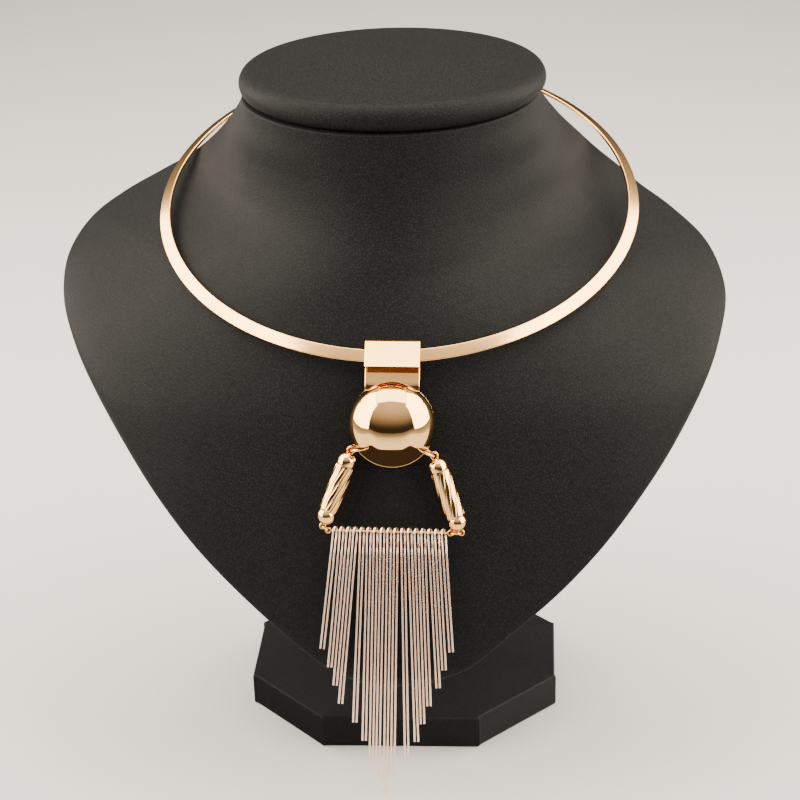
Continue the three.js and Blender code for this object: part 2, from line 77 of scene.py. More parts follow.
# Level sections of the bust, in millimetres. Each is widest at y = edge; its front runs to y = front
# and its back to y = back. A taper above 1 draws the front in towards the neck, and a shift moves the
# section sideways, because the padding sits unevenly. The columns are height, shift, half width,
# front, edge, back and taper.
BUST_SECTIONS = (
    (40.0, 0, 6.0, -66.3, -64.3, -60.0, 1.0),
    (41.5, 0.5, 11.5, -67.3, -65.1, -57.5, 1.0),
    (45.5, 1, 19.1, -67.9, -65.5, -54.0, 1.0),
    (53.0, 1, 28.8, -66.4, -63.0, -47.0, 1.0),
    (64.0, 1.5, 42.1, -63.4, -58.5, -38.0, 1.0),
    (75.0, 1.5, 53.7, -60.3, -53.0, -27.0, 1.0),
    (86.0, 1.5, 63.6, -57.1, -46.0, -15.0, 1.0),
    (96.0, 1.5, 72.3, -54.2, -36.5, -3.0, 1.0),
    (108.0, 1, 81.7, -50.5, -24.0, 12.0, 1.15),
    (116.0, 0, 87.8, -47.5, -11.0, 23.0, 1.4),
    (124.0, -1, 91.0, -43.7, 1.0, 34.0, 1.75),
    (131.5, -2.8, 89.4, -39.8, 14.0, 42.0, 2.15),
    (137.0, -4.8, 82.9, -36.9, 27.0, 47.0, 2.15),
    (141.5, -5, 74.2, -34.5, 36.0, 49.5, 2.05),
    (146.0, -3.2, 66.0, -32.2, 40.5, 51.0, 1.85),
    (151.0, -1.6, 58.4, -29.6, 40.5, 52.0, 1.6),
    (157.0, -0.9, 52.4, -27.2, 36.5, 52.5, 1.35),
    (163.0, -0.8, 47.4, -25.5, 31.0, 52.5, 1.15),
    (169.0, -0.8, 43.6, -24.4, 24.0, 52.3, 1.0),
    (174.0, -0.8, 41.0, -23.8, 18.0, 52.0, 1.0),
    (177.0, -0.8, 40.0, -23.6, 15.5, 52.0, 1.0),
)
BACK_SQUARENESS = 2.4

# By side: how far each jump ring hangs from the dome's middle, how far its outer end drops, and how far
# its tube leans outwards. The rings' middles are RING_OUT in front of the disc.
RING_ACROSS = {-1: 8.2, 1: 8.9}
RING_DROP = {-1: math.radians(10), 1: math.radians(26)}
TUBE_LEAN = {-1: math.radians(20.0), 1: math.radians(19.7)}
RING_OUT = 0.55

# Wire eyes and the lower rings, as middle radius and wire, or wire alone, in millimetres.
CAP_EYE = (0.85, 0.5)
SMALL_EYE = (0.65, 0.45)
LOWER_RING_WIRE = 0.45

# The hanger wire's middle in the pendant's frame, and how far its right end drops.
HANGER_PLACE = np.array([-0.45, -0.55, -27.75])
HANGER_DROP = math.radians(0.4)

# How far each hairpin swings from straight down, left to right, in degrees.
HAIRPIN_SWING = (
    -6.0, -4.8, -4.7, -4.6, -1.9, -1.0, -0.8, -0.8, -0.5, -0.4, 1.4, 2.3, 2.3, 2.4, 3.5, 3.6, 4.2,
)

# Height of a hairpin's bend above the middle of the hanger wire, in millimetres.
HAIRPIN_BEND = 1.05

# The camera's place, in metres.
CAMERA_PLACE = (0.0253, -0.5322, 0.3464)


# ---- properties ----


def millimetres(name, description, default, low=0.0):
    """A length in millimetres; the sidebar shows it as a plain number."""
    return FloatProperty(
        name=name, description=description, default=default, min=low, soft_max=default * 3)


class BustSizes(PropertyGroup):
    """Sizes of the covered bust."""

    neck_y: millimetres("Neck centre", "Middle of the neck behind the plate's middle, in mm", 15.0)
    cap_half_width: millimetres("Cap half width", "Half the cap's width, in mm", 41.4)
    cap_half_depth: millimetres("Cap half depth", "Half the cap's depth, in mm", 38.9)
    cap_height: millimetres("Cap height", "Cap from its seam to its crown, in mm", 8.8)
    cap_crown: millimetres("Cap crown", "How much the cap's top is domed, in mm", 1.6)
    plate_half_width: millimetres("Plate half width", "Half the plate's width, in mm", 44.0)
    plate_half_depth: millimetres("Plate half depth", "Half the plate's depth, in mm", 36.6)
    plate_corner: millimetres("Plate corner", "How much each corner is cut off, in mm", 22.0)
    plate_height: millimetres("Plate height", "Thickness of the plate, in mm", 10.0)
    post_half_width: millimetres("Post half width", "Half the post's width, in mm", 17.0)
    post_half_depth: millimetres("Post half depth", "Half the post's depth, in mm", 13.0)


class CollarSizes(PropertyGroup):
    """Sizes of the rigid collar."""

    radius: millimetres("Radius", "Outer radius of the band's top edge, in mm", 63.1)
    height: millimetres("Band height", "Width of the band's face, in mm", 3.3)
    thickness: millimetres("Band thickness", "Thickness of the band, in mm", 0.9)
    cone: FloatProperty(
        name="Cone", description="How far the face turns up from facing outwards",
        default=math.radians(60), subtype="ANGLE",
    )
    tilt: FloatProperty(
        name="Tilt", description="How far the collar drops to the front",
        default=math.radians(18.2), subtype="ANGLE",
    )
    centre_x: millimetres("Centre across", "Collar's centre right of the plate's middle, in mm", 0.9)
    centre_y: millimetres("Centre depth", "Collar's centre behind the plate's middle, in mm", 14.0)
    centre_z: millimetres("Centre height", "Height of the collar's centre, in mm", 147.5)
    opening: millimetres("Opening", "Gap between the collar's ends, in mm", 5.0)
    sleeve_length: millimetres("Sleeve length", "Length of the closing sleeve, in mm", 14.0)


class PendantSizes(PropertyGroup):
    """Sizes of the strap, dome and tubes."""

    lean: FloatProperty(
        name="Lean", description="How far the pendant leans back with the chest",
        default=math.radians(16), subtype="ANGLE",
    )
    askew: FloatProperty(
        name="Askew", description="How far the pendant's foot hangs to the left",
        default=math.radians(1.3), subtype="ANGLE",
    )
    across: millimetres("Across", "Dome's middle right of the plate's middle, in mm", 0.5)
    depth: FloatProperty(name="Depth", description="Depth of the dome's middle, in mm", default=-52.6)
    height: millimetres("Height", "Height of the dome's middle, in mm", 109.9)
    sheet: millimetres("Sheet", "Thickness of the strap's sheet, in mm", 0.9)
    strap_width: millimetres("Strap width", "Width of the strap, in mm", 14.0)
    dome_radius: millimetres("Dome radius", "Outer radius of the dome, in mm", 11.1)
    dome_bulge: FloatProperty(
        name="Dome bulge", description="Rise of the dome, as a share of its radius", default=0.75)
    dome_wall: millimetres("Dome wall", "Wall of the dome, in mm", 0.9)
    dome_mouth: FloatProperty(name="Dome mouth", description="Height of the mouth, in mm", default=-5.1)
    ring_radius: millimetres("Jump ring radius", "Middle radius of the jump rings, in mm", 2.2)
    ring_wire: millimetres("Jump ring wire", "Wire of the jump rings, in mm", 0.7)
    tube_radius: millimetres("Tube radius", "Outer radius of the tubes, in mm", 2.5)
    tube_cap: millimetres("Tube cap", "Length of the tube's top cap, in mm", 3.5)
    tube_body: millimetres("Tube body", "Length of the fluted part, in mm", 12.9)
    tube_ball: millimetres("Tube ball", "Length of the tube's ball end, in mm", 3.75)
    flutes: IntProperty(name="Flutes", description="Number of twisted flutes", default=12, min=3)


class FringeSizes(PropertyGroup):
    """Sizes of the hairpin fringe."""

    pitch: millimetres("Pitch", "Distance between hairpins, in mm", 1.74)
    wire: millimetres("Wire", "Hairpin wire, in mm", 0.54)
    longest: millimetres("Longest", "Length of the middle hairpin, in mm", 72.0)
    step: millimetres("Step", "How much each next hairpin is shorter, in mm", 4.875)
    hanger_wire: millimetres("Hanger wire", "Wire that carries the hairpins, in mm", 0.5)
    hanger_reach: millimetres("Hanger reach", "From its middle to its eyes, in mm", 15.7)


def hex_property(name, description, default):
    """A colour as a hash sign and six hexadecimal digits."""
    return StringProperty(name=name, description=description, default=default, maxlen=7)


class FinishColours(PropertyGroup):
    """Colours of the finishes, as sRGB hex values."""

    leatherette: hex_property("Leatherette", "Black polyurethane leatherette", "#17181a")
    # The groove colour is painted shade: it darkens the recesses between the pebbles.
    leatherette_groove_shade: hex_property("Grain grooves", "The same skin between its pebbles", "#0e0f10")
    rose_gold: hex_property("Rose gold", "Polished rose gold plating", "#f5cb81")
    rose_gold_deep: hex_property("Rose gold, thin", "Where the plating is thinner", "#e8ae6c")
    rose_gold_pale: hex_property("Rose gold, drawn wire", "Whiter plating on the fringe", "#f7ddcf")
    floor: hex_property("Floor", "Pale studio floor", "#a4a5a8")


class StageSettings(PropertyGroup):
    """Camera and lights."""

    lens: FloatProperty(name="Lens", description="Focal length, in mm", default=94.6, min=10)
    pitch: FloatProperty(
        name="Pitch", description="How far the camera looks down",
        default=math.radians(25.55), subtype="ANGLE",
    )
    yaw: FloatProperty(
        name="Yaw", description="How far the camera looks to the right",
        default=math.radians(-2.69), subtype="ANGLE",
    )
    roll: FloatProperty(
        name="Roll", description="How far the camera turns anticlockwise",
        default=math.radians(-1.65), subtype="ANGLE",
    )
    warmth: hex_property("Light colour", "Colour of the soft panels", "#fff2dc")
    air_tint: hex_property("Air colour", "Colour of the studio air", "#fff0ea")
    side_power: FloatProperty(
        name="Side panels", description="Power of each side panel, in W", default=30.0)
    top_power: FloatProperty(
        name="Top panel", description="Power of the top panel, in W", default=24.0)


# ---- numbers and surfaces ----


def linear(hex_colour):
    """An sRGB hex value as linear red, green, blue and alpha."""
    srgb = np.array([int(hex_colour[i:i + 2], 16) for i in (1, 3, 5)]) / 255
    value = np.where(srgb <= 0.04045, srgb / 12.92, ((srgb + 0.055) / 1.055) ** 2.4)
    return (*value.tolist(), 1.0)


def turn_x(points, angle):
    """Points turned about the X axis."""
    c, s = math.cos(angle), math.sin(angle)
    return points @ np.array([[1, 0, 0], [0, c, -s], [0, s, c]]).T


def turn_y(points, angle):
    """Points turned about the Y axis."""
    c, s = math.cos(angle), math.sin(angle)
    return points @ np.array([[c, 0, s], [0, 1, 0], [-s, 0, c]]).T


def eased_rows(rows, steps):
    """Uniform Catmull-Rom curve through the rows of a table, steps points from each row to the next."""
    rows = np.asarray(rows, float)
    p = np.vstack([2 * rows[0] - rows[1], rows, 2 * rows[-1] - rows[-2]])
    t = (np.arange(steps) / steps)[None, :, None]
    a, b, c, d = (p[i:len(p) - 3 + i, None] for i in range(4))
    curve = b + 0.5 * t * (c - a + t * (2 * a - 5 * b + 4 * c - d + t * (3 * (b - c) + d - a)))
    return np.vstack([curve.reshape(-1, rows.shape[1]), rows[-1:]])


def centripetal(points, steps):
    """Catmull-Rom curve with knots spaced by the square root of each chord, so that it never loops."""
    points = np.asarray(points, float)
    p = np.vstack([2 * points[0] - points[1], points, 2 * points[-1] - points[-2]])
    knots = np.concatenate([[0], np.cumsum(np.sqrt(np.linalg.norm(np.diff(p, axis=0), axis=1)))])
    k = [knots[i:len(p) - 3 + i, None, None] for i in range(4)]
    a = [p[i:len(p) - 3 + i, None] for i in range(4)]
    t = k[1] + (k[2] - k[1]) * (np.arange(steps) / steps)[None, :, None]

    def mix(first, second, start, end):
        weight = (t - start) / (end - start)
        return first * (1 - weight) + second * weight

    b = [mix(a[i], a[i + 1], k[i], k[i + 1]) for i in range(3)]
    c = [mix(b[i], b[i + 1], k[i], k[i + 2]) for i in range(2)]
    curve = mix(c[0], c[1], k[1], k[2])
    return np.vstack([curve.reshape(-1, points.shape[1]), points[-1:]])


def rounded_rectangle(width, height, radius, corner_steps=5):
    """Outline of a rectangle with quarter circles at its corners, anticlockwise. A point on each
    side close to each circle keeps the flat faces looking flat."""
    angle = np.linspace(0, math.pi / 2, corner_steps)
    turn = np.arange(4)[:, None] * math.pi / 2 + angle
    sign_x = np.array([1, -1, -1, 1])[:, None]
    sign_y = np.array([1, 1, -1, -1])[:, None]
    x = sign_x * (width / 2 - radius) + radius * np.cos(turn)
    y = sign_y * (height / 2 - radius) + radius * np.sin(turn)
    support = min(0.15 * radius, (height / 2 - radius) / 2)
    x, y = (np.hstack([side[:, :1], side, side[:, -1:]]) for side in (x, y))
    for column, along in ((0, -1), (-1, 1)):
        direction = turn[:, column]
        x[:, column] -= along * support * np.sin(direction)
        y[:, column] += along * support * np.cos(direction)
    return np.stack([x.ravel(), y.ravel()], -1)


def circle(radius, count):
    """Points round a circle in the plane."""
    angle = np.arange(count) * 2 * math.pi / count
    return radius * np.stack([np.cos(angle), np.sin(angle)], -1)


def sweep(path, section, side):
    """Carries a flat section along a path: its first axis stays as near to side as the path allows,
    and its second axis completes the frame."""
    tangent = np.gradient(path, axis=0)
    tangent /= np.linalg.norm(tangent, axis=1, keepdims=True)
    side = np.asarray(side, float)
    across = side - tangent * (tangent @ side)[:, None]
    across /= np.linalg.norm(across, axis=1, keepdims=True)
    up = np.cross(tangent, across)
    return path[:, None] + section[None, :, :1] * across[:, None] + section[None, :, 1:] * up[:, None]


def lathe(profile, count):
    """Turns a profile of (radius, height) rows round the Z axis."""
    profile = np.asarray(profile, float)
    angle = np.arange(count) * 2 * math.pi / count
    x = profile[:, :1] * np.cos(angle)
    y = profile[:, :1] * np.sin(angle)
    return np.stack([x, y, np.broadcast_to(profile[:, 1:], x.shape)], -1)


def arc_profile(radius, start, end, steps, centre=(0.0, 0.0)):
    """Rows of (radius, height) along an arc, angles from level in degrees."""
    angle = np.radians(np.linspace(start, end, steps))
    return np.stack([centre[0] + radius * np.cos(angle), centre[1] + radius * np.sin(angle)], -1)


def torus(radius, wire, around=72, section=20):
    """A closed wire ring: the wire's circle carried round the ring's own in the XY plane."""
    angle = np.arange(around) * 2 * math.pi / around
    ring = circle(wire / 2, section)
    reach = radius + ring[None, :, 0]
    x, y = reach * np.cos(angle)[:, None], reach * np.sin(angle)[:, None]
    return np.stack([x, y, np.broadcast_to(ring[:, 1], x.shape)], -1)


def grid_faces(rows, columns, wrap_rows=False):
    """Quads between the points of a grid whose columns close on themselves."""
    spans = rows if wrap_rows else rows - 1
    row, column = np.meshgrid(np.arange(spans), np.arange(columns), indexing="ij")
    next_row, next_column = (row + 1) % rows, (column + 1) % columns
    corners = [row * columns + column, row * columns + next_column,
               next_row * columns + next_column, next_row * columns + column]
    return np.stack(corners, -1).reshape(-1, 4)


def closed_skin(grid, wrap_rows=False):
    """Vertices and faces of a grid of sections; open ends are closed by a fan to their middle."""
    rows, columns = grid.shape[:2]
    points = grid.reshape(-1, 3)
    faces = grid_faces(rows, columns, wrap_rows).tolist()
    if not wrap_rows:
        points = np.vstack([points, grid[0].mean(0), grid[-1].mean(0)])
        first, last, start = rows * columns, rows * columns + 1, (rows - 1) * columns
        ring = np.arange(columns)
        after = (ring + 1) % columns
        faces += np.stack([after, ring, np.full(columns, first)], -1).tolist()
        faces += np.stack([start + ring, start + after, np.full(columns, last)], -1).tolist()
    return points, faces


def signed_volume(points, faces):
    """Volume inside the faces; it is negative if they face inwards."""
    triangles = np.array([(f[0], f[i], f[i + 1]) for f in faces for i in range(1, len(f) - 1)])
    a, b, c = (points[triangles[:, i]] for i in range(3))
    return np.einsum("ij,ij->", a, np.cross(b, c)) / 6


# ---- pieces ----


def bare_object(name, skin, finish, sharp=40):
    """A mesh object from points in millimetres, smooth but for edges sharper than the angle."""
    points, faces = skin
    if signed_volume(points, faces) < 0:
        faces = [face[::-1] for face in faces]
    mesh = bpy.data.meshes.new(name)
    mesh.from_pydata((points * MM).tolist(), [], faces)
    mesh.materials.append(finish)
    mesh.polygons.foreach_set("use_smooth", np.ones(len(mesh.polygons), bool))
    mesh.set_sharp_from_angle(angle=math.radians(sharp))
    piece = bpy.data.objects.new(name, mesh)
    bpy.context.scene.collection.objects.link(piece)
    return piece


def declare(piece, slot, *nodes):
    """The piece rides on the one body and stands for the nodes; the slot is not used."""
    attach(piece, "root")
    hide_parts(*nodes)


def combine(target, tool, operation, sharp=40):
    """Joins the tool to the target, or cuts it out, and removes the tool."""
    cutter = target.modifiers.new("combine", "BOOLEAN")
    cutter.operation = operation
    cutter.solver = "EXACT"
    cutter.object = tool
    bpy.context.view_layer.update()
    evaluated = target.evaluated_get(bpy.context.evaluated_depsgraph_get())
    mesh = bpy.data.meshes.new_from_object(evaluated)
    target.modifiers.clear()
    old = target.data
    target.data = mesh
    mesh.name = target.name
    bpy.data.meshes.remove(old)
    mesh.set_sharp_from_angle(angle=math.radians(sharp))
    tool_mesh = tool.data
    bpy.data.objects.remove(tool)
    bpy.data.meshes.remove(tool_mesh)


def at_pendant(points, sizes):
    """From the pendant's own frame, leaning back with the chest, to the frame of the whole."""
    place = np.array([sizes.across, sizes.depth, sizes.height])
    return turn_x(turn_y(points, sizes.askew), -sizes.lean) + place


# ---- finishes ----


def add_node(tree, kind, inputs=None, **settings):
    """Adds a node, with its settings, and each input set to a number or linked to a socket."""
    node = tree.nodes.new(kind)
    for name, value in settings.items():
        setattr(node, name, value)
    for name, value in (inputs or {}).items():
        if isinstance(value, bpy.types.NodeSocket):
            tree.links.new(value, node.inputs[name])
        else:
            node.inputs[name].default_value = value
    return node


def new_finish(name):
    """An empty material with its shader, and coordinates in millimetres on the object."""
    material = bpy.data.materials.new(name)
    material.use_nodes = True
    tree = material.node_tree
    shader = tree.nodes["Principled BSDF"]
    place = add_node(tree, "ShaderNodeTexCoord")
    scaled = add_node(
        tree, "ShaderNodeVectorMath", {0: place.outputs["Object"], 1: (1 / MM,) * 3},
        operation="MULTIPLY")
    return material, tree, shader, scaled.outputs["Vector"]


def leatherette_finish(name, grain=0.75, depth=0.05, gloss=0.52):
    """Black polyurethane leatherette, embossed and stretched: small rounded pebbles with painted shade
    in the grooves between them, a satin top coat whose gloss drifts over the surface, and a few finer
    wrinkles. Embossed pebbles are commonly 0.5 to 1 mm across; grain is that width and depth is their
    relief, both in mm."""
    found = bpy.data.materials.get(name)
    if found:
        return found
    colours = bpy.context.scene.necklace_colours
    material, tree, shader, mm = new_finish(name)
    # Swells per millimetre: the rows of pebbles wander over 1 to 2 mm, the wrinkles are 0.3 mm wide,
    # and the gloss drifts over about 20 mm, as the skin is stretched unevenly.
    wander_scale, wrinkle_scale, drift_scale = 0.6, 3.5, 0.045
    warp = add_node(
        tree, "ShaderNodeTexNoise", {"Vector": mm, "Scale": wander_scale, "Detail": 2.0})
    bent = add_node(
        tree, "ShaderNodeVectorMath",
        {0: warp.outputs["Color"], 1: (0.8, 0.8, 0.8), 2: mm}, operation="MULTIPLY_ADD")
    pebbles = add_node(
        tree, "ShaderNodeTexVoronoi", {"Vector": bent.outputs["Vector"], "Scale": 1 / grain},
        feature="DISTANCE_TO_EDGE")
    plump = add_node(
        tree, "ShaderNodeMapRange",
        {"Value": pebbles.outputs["Distance"], "From Min": 0.0, "From Max": 0.32},
        interpolation_type="SMOOTHSTEP")
    fine = add_node(
        tree, "ShaderNodeTexNoise",
        {"Vector": mm, "Scale": wrinkle_scale, "Detail": 3.0, "Roughness": 0.6})
    height = add_node(
        tree, "ShaderNodeMath", {0: fine.outputs["Fac"], 1: 0.45, 2: plump.outputs["Result"]},
        operation="MULTIPLY_ADD")
    relief = add_node(
        tree, "ShaderNodeBump",
        {"Strength": 0.38, "Distance": depth * MM, "Height": height.outputs["Value"]})
    drift = add_node(
        tree, "ShaderNodeTexNoise", {"Vector": mm, "Scale": drift_scale, "Detail": 3.0})
    rough = add_node(
        tree, "ShaderNodeMapRange",
        {"Value": drift.outputs["Fac"], "From Min": 0.3, "From Max": 0.7, "To Min": gloss - 0.04,
         "To Max": gloss + 0.05})
    # Painted shade: the grooves between the pebbles take the darker groove colour, through the same mask
    # that sinks them in the bump.
    shade = add_node(
        tree, "ShaderNodeMix",
        {"Factor": plump.outputs["Result"], "A": linear(colours.leatherette_groove_shade),
         "B": linear(colours.leatherette)}, data_type="RGBA")
    tree.links.new(shade.outputs[2], shader.inputs["Base Color"])
    tree.links.new(rough.outputs["Result"], shader.inputs["Roughness"])
    tree.links.new(relief.outputs["Normal"], shader.inputs["Normal"])
    # Polyurethane has an IOR of 1.5; a skin this matt mirrors far less than a smooth one.
    shader.inputs["IOR"].default_value = 1.5
    shader.inputs["Specular IOR Level"].default_value = 0.04
    return material


def rose_gold_finish(name, gloss=0.08, scratches=0.5, pale=0.0):
    """Rose gold plating over polished brass: a mirror with a faint orange peel, hairline polishing
    marks and patches where the plating is a little thinner and redder."""
    found = bpy.data.materials.get(name)
    if found:
        return found
    colours = bpy.context.scene.necklace_colours
    material, tree, shader, mm = new_finish(name)
    # Swells per millimetre: patches of thinner plating are about 8 mm wide and the orange peel 2 mm.
    # Polishing hairlines are finer than 0.05 mm; they are drawn 0.07 mm wide and 0.8 mm long, as
    # coarse as they need to be to soften the shine.
    patch_scale, peel_scale, hairline_scale = 0.12, 0.5, (1.2, 1.2, 14.0)
    patches = add_node(
        tree, "ShaderNodeTexNoise", {"Vector": mm, "Scale": patch_scale, "Detail": 2.0})
    shade = add_node(
        tree, "ShaderNodeMix",
        {"Factor": patches.outputs["Fac"], "A": linear(colours.rose_gold),
         "B": linear(colours.rose_gold_deep)}, data_type="RGBA")
    peel = add_node(tree, "ShaderNodeTexNoise", {"Vector": mm, "Scale": peel_scale, "Detail": 1.0})
    streak_space = add_node(
        tree, "ShaderNodeMapping",
        {"Vector": mm, "Scale": hairline_scale, "Rotation": (0.5, 0.3, 0.2)})
    streaks = add_node(
        tree, "ShaderNodeTexNoise",
        {"Vector": streak_space.outputs["Vector"], "Scale": 1.0, "Detail": 4.0})
    rough = add_node(
        tree, "ShaderNodeMapRange",
        {"Value": streaks.outputs["Fac"], "From Min": 0.35, "From Max": 0.75, "To Min": gloss,
         "To Max": gloss + 0.07 * scratches})
    relief = add_node(
        tree, "ShaderNodeBump", {"Strength": 0.12, "Distance": 0.02 * MM, "Height": peel.outputs["Fac"]})
    worn = add_node(
        tree, "ShaderNodeMix",
        {"Factor": pale, "A": shade.outputs[2], "B": linear(colours.rose_gold_pale)}, data_type="RGBA")
    tree.links.new(worn.outputs[2], shader.inputs["Base Color"])
    tree.links.new(rough.outputs["Result"], shader.inputs["Roughness"])
    tree.links.new(relief.outputs["Normal"], shader.inputs["Normal"])
    shader.inputs["Metallic"].default_value = 1.0
    return material


# ---- stage ----


class NECKLACE_OT_stage(Operator):
    """Floor, soft panels, studio air and camera."""

    bl_idname = "necklace.stage"
    bl_label = "Stage"

    def execute(self, context):
        settings = context.scene.necklace_stage
        self.floor(context)
        # The panels' places and sizes are in metres.
        for name, side in SIDES:
            self.panel(
                f"side_panel_{name}", (side * 0.47, -0.03, 0.53), (0.0, side * math.radians(90), 0.0),
                (0.86, 0.86), settings.side_power)
        self.panel("top_panel", (0.0, 0.15, 1.0), (0.0, 0.0, 0.0), (0.94, 1.0), settings.top_power)
        self.air(context)
        self.camera(context, settings)
        return {"FINISHED"}

    def air(self, context):
        """Dim studio air: nearly dark at the level of the eye and glowing softly towards the
        ceiling."""
        world = bpy.data.worlds.new("studio")
        world.use_nodes = True
        tree = world.node_tree
        place = add_node(tree, "ShaderNodeTexCoord")
        split = add_node(tree, "ShaderNodeSeparateXYZ", {"Vector": place.outputs["Generated"]})
        rise = add_node(
            tree, "ShaderNodeMapRange",
            {"Value": split.outputs["Z"], "From Min": 0.12, "From Max": 0.95,
             "To Min": 0.05, "To Max": 1.4}, interpolation_type="SMOOTHSTEP")
        background = tree.nodes["Background"]
        background.inputs["Color"].default_value = linear(context.scene.necklace_stage.air_tint)
        tree.links.new(rise.outputs["Result"], background.inputs["Strength"])
        context.scene.world = world

    def floor(self, context):
        """A wide floor of matt painted board, level with the plate's foot, whose gloss drifts over
        about 100 mm."""
        half, mottle_scale = 40000.0, 0.01
        corners = np.array([[-half, -half, 0], [half, -half, 0], [half, half, 0], [-half, half, 0]])
        mesh = bpy.data.meshes.new("floor")
        mesh.from_pydata((corners * MM).tolist(), [], [(0, 1, 2, 3)])
        material, tree, shader, mm = new_finish("painted_board")
        mottle = add_node(
            tree, "ShaderNodeTexNoise", {"Vector": mm, "Scale": mottle_scale, "Detail": 3.0})
        rough = add_node(
            tree, "ShaderNodeMapRange", {"Value": mottle.outputs["Fac"], "To Min": 0.7, "To Max": 0.85})
        tree.links.new(rough.outputs["Result"], shader.inputs["Roughness"])
        shader.inputs["Base Color"].default_value = linear(context.scene.necklace_colours.floor)
        shader.inputs["Specular IOR Level"].default_value = 0.2
        mesh.materials.append(material)
        floor = bpy.data.objects.new("floor", mesh)
        context.scene.collection.objects.link(floor)

    def panel(self, name, place, turn, size, power):
        """A rectangular soft light, seen in reflections but not by the camera."""
        light = bpy.data.lights.new(name, "AREA")
        light.shape = "RECTANGLE"
        light.size, light.size_y = size
        light.energy = power
        light.color = linear(bpy.context.scene.necklace_stage.warmth)[:3]
        lamp = bpy.data.objects.new(name, light)
        lamp.location = place
        lamp.rotation_euler = turn
        lamp.visible_camera = False
        bpy.context.scene.collection.objects.link(lamp)

    def camera(self, context, settings):
        """Aims along +Y, then looks down, to the right and turns on its own axis."""
        data = bpy.data.cameras.new("camera")
        data.lens = settings.lens
        data.sensor_width = 36
        camera = bpy.data.objects.new("camera", data)
        camera.location = CAMERA_PLACE
        camera.rotation_mode = "XYZ"
        look = (
            Matrix.Rotation(-settings.yaw, 4, "Z")
            @ Matrix.Rotation(math.pi / 2 - settings.pitch, 4, "X")
            @ Matrix.Rotation(settings.roll, 4, "Z")
        )
        camera.rotation_euler = look.to_euler("XYZ")
        context.scene.collection.objects.link(camera)
        context.scene.camera = camera


# ---- bust ----


def bust_ring(row, angle):
    """One level section: across runs with the cosine of the angle and along with its sine; the front
    half raises the sine to the taper, and the back half is a squared ellipse."""
    height, shift, half_width, front, edge, back, taper = (row[:, i:i + 1] for i in range(7))
    across, along = np.cos(angle), np.abs(np.sin(angle))
    ahead = np.sin(angle) < 0
    square = 2 / BACK_SQUARENESS
    x = shift + half_width * np.where(ahead, across, np.sign(across) * np.abs(across) ** square)
    y = edge + np.where(ahead, (front - edge) * along ** taper, (back - edge) * along ** square)
    return np.stack([x, y, np.broadcast_to(height, x.shape)], -1)


class NECKLACE_OT_bust_body(Operator):
    """Neck and chest form: level sections blended from the table, closed with rounded ends."""

    bl_idname = "necklace.bust_body"
    bl_label = "Bust body"

    def execute(self, context):
        rows = eased_rows(BUST_SECTIONS, 12)
        angle = np.arange(256) * 2 * math.pi / 256
        grid = bust_ring(rows, angle)
        tip, top = grid[0].mean(0), grid[-1].mean(0)
        # Two more sections at each end shrink towards its middle and move out, to round it.
        shrink, drop = np.array([[0.55, 0.85], [0.65, 0.25]])[..., None, None]
        foot = tip + (grid[0] - tip) * shrink - drop * UP
        lid = top + (grid[-1] - top) * np.array([0.985, 0.6])[:, None, None] + 0.25 * UP
        grid = np.concatenate([foot, grid, lid])
        skin = leatherette_finish("leatherette_stretched")
        piece = bare_object("covered_bust", closed_skin(grid), skin, sharp=70)
        declare(piece, LEATHER_SLOT, "bust_body")
        return {"FINISHED"}


class NECKLACE_OT_neck_cap(Operator):
    """Covered disc on the neck: a lathe of rim and crown, squeezed to an oval, with fine puckers
    where the skin is drawn in at the seam."""

    bl_idname = "necklace.neck_cap"
    bl_label = "Neck cap"

    def execute(self, context):
        sizes = context.scene.necklace_bust
        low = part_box("neck_cap")[0].z / MM
        rim = (sizes.cap_height - sizes.cap_crown) / 2
        edge = arc_profile(rim, -90, 90, 40, (sizes.cap_half_width - rim, rim))
        inset = np.linspace(1, 0, 40)[1:-1, None] ** 0.8
        crown = np.hstack([
            (sizes.cap_half_width - rim) * inset,
            2 * rim + sizes.cap_crown * (1 - inset ** 2)])
        profile = np.vstack([edge, crown])
        count = 360
        grid = lathe(profile, count)
        angle = np.arange(count) * 2 * math.pi / count
        # An uneven rhythm: three sines whose counts share no factor, two of which also sway.
        waves = (
            np.sin(61 * angle + 3 * np.sin(3 * angle))
            + 0.7 * np.sin(97 * angle + 2 * np.sin(5 * angle))
            + 0.5 * np.sin(139 * angle))
        # The puckers fade above the seam, and their depth is a share of the cap's half width.
        pucker_depth, pucker_fade, pucker_end = 0.0016, 1.3, 5
        near_seam = np.exp(-profile[:, 1] / pucker_fade) * (profile[:, 1] < pucker_end)
        pull = 1 - pucker_depth * near_seam[:, None] * (1 + waves[None])
        grid[..., :2] *= pull[..., None]
        grid[..., 1] *= sizes.cap_half_depth / sizes.cap_half_width
        grid += np.array([0, sizes.neck_y, low])
        skin = leatherette_finish("leatherette_cap")
        piece = bare_object("covered_cap", closed_skin(grid), skin, sharp=70)
        declare(piece, LEATHER_SLOT, "neck_cap")
        return {"FINISHED"}


